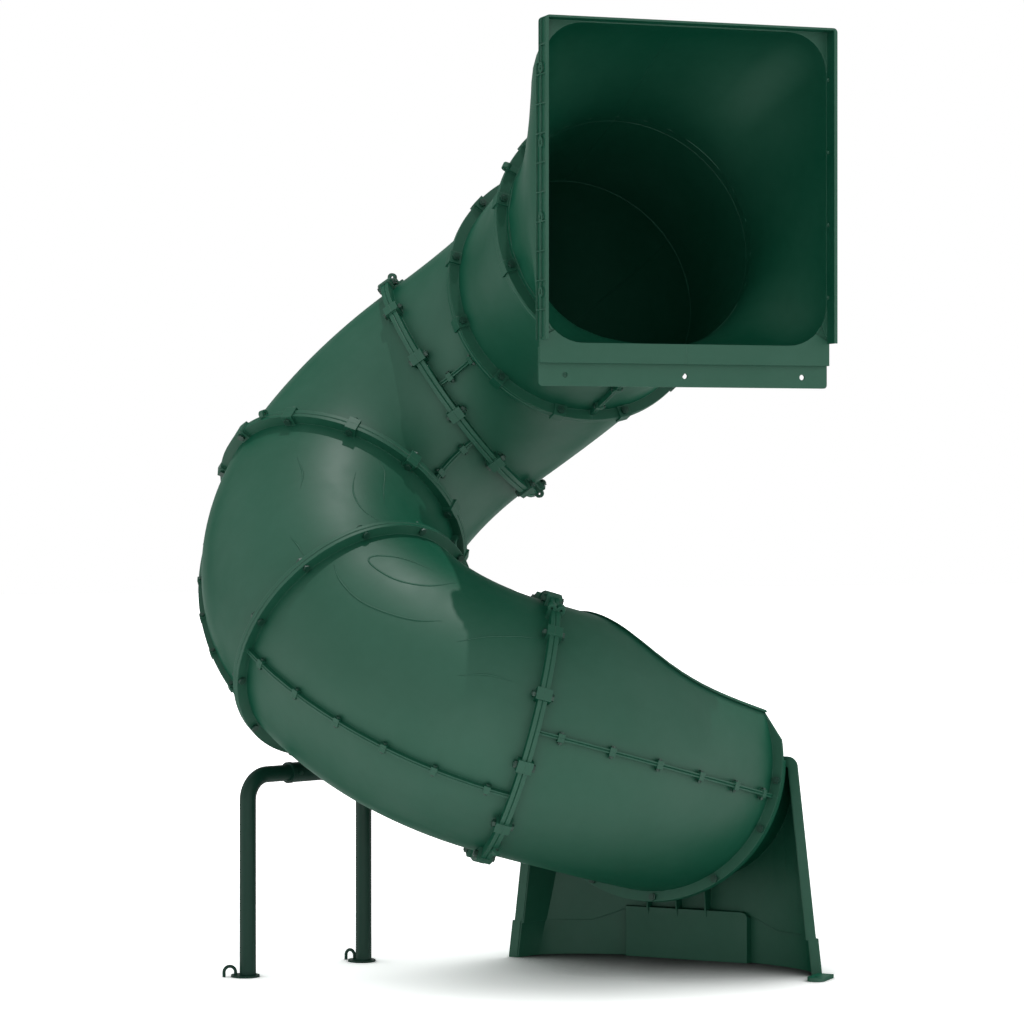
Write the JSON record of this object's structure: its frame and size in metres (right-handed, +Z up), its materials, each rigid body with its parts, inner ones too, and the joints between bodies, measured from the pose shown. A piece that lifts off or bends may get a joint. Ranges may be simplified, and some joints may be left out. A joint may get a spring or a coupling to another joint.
{
  "type": "spiral tube slide",
  "caption": "Enclosed spiral tube slide for a play deck: square entrance hood, bolted bend sections, open-topped exit and a bent-tube support.",
  "frame": {"origin": "The middle one of the three bolt holes in the deck plate, on the face that meets the deck.", "axes": "+Z up. +Y is the way the rider leaves the deck, so the entrance faces -Y. +X is on the rider's right; the tube turns to the left."},
  "size_m": [1.4226, 1.4912, 2.2671],
  "materials": {
    "green_plastic": "satin rotationally moulded plastic",
    "coated_steel": "thick satin powder coat",
    "zinc_hardware": "satin coated bolts and nuts"
  },
  "bodies": {
    "root": {"hood_left": "green_plastic", "hood_right": "green_plastic", "deck_plate": "green_plastic", "deck_plate_screws": "zinc_hardware", "hood_seam_bolts": "zinc_hardware", "collar_left": "green_plastic", "collar_right": "green_plastic", "collar_seam_bolts": "zinc_hardware", "bend_1_upper": "green_plastic", "bend_1_lower": "green_plastic", "bend_1_seam_bolts": "zinc_hardware", "bend_2_upper": "green_plastic", "bend_2_lower": "green_plastic", "bend_2_seam_bolts": "zinc_hardware", "bend_3_upper": "green_plastic", "bend_3_lower": "green_plastic", "bend_3_seam_bolts": "zinc_hardware", "bend_4_upper": "green_plastic", "bend_4_lower": "green_plastic", "bend_4_seam_bolts": "zinc_hardware", "exit_tube_upper": "green_plastic", "exit_tube_lower": "green_plastic", "exit_seam_bolts": "zinc_hardware", "exit_stand": "green_plastic", "ring_1_bolts": "zinc_hardware", "ring_2_bolts": "zinc_hardware", "ring_3_bolts": "zinc_hardware", "ring_4_bolts": "zinc_hardware", "ring_5_bolts": "zinc_hardware", "ring_6_bolts": "zinc_hardware", "exit_ring_bolts": "zinc_hardware", "support_saddle": "coated_steel", "saddle_set_screws": "zinc_hardware", "left_post": "coated_steel", "right_post": "coated_steel", "left_foot_disc": "coated_steel", "right_foot_disc": "coated_steel", "left_ground_staple": "coated_steel", "right_ground_staple": "coated_steel"}
  },
  "joints": []
}
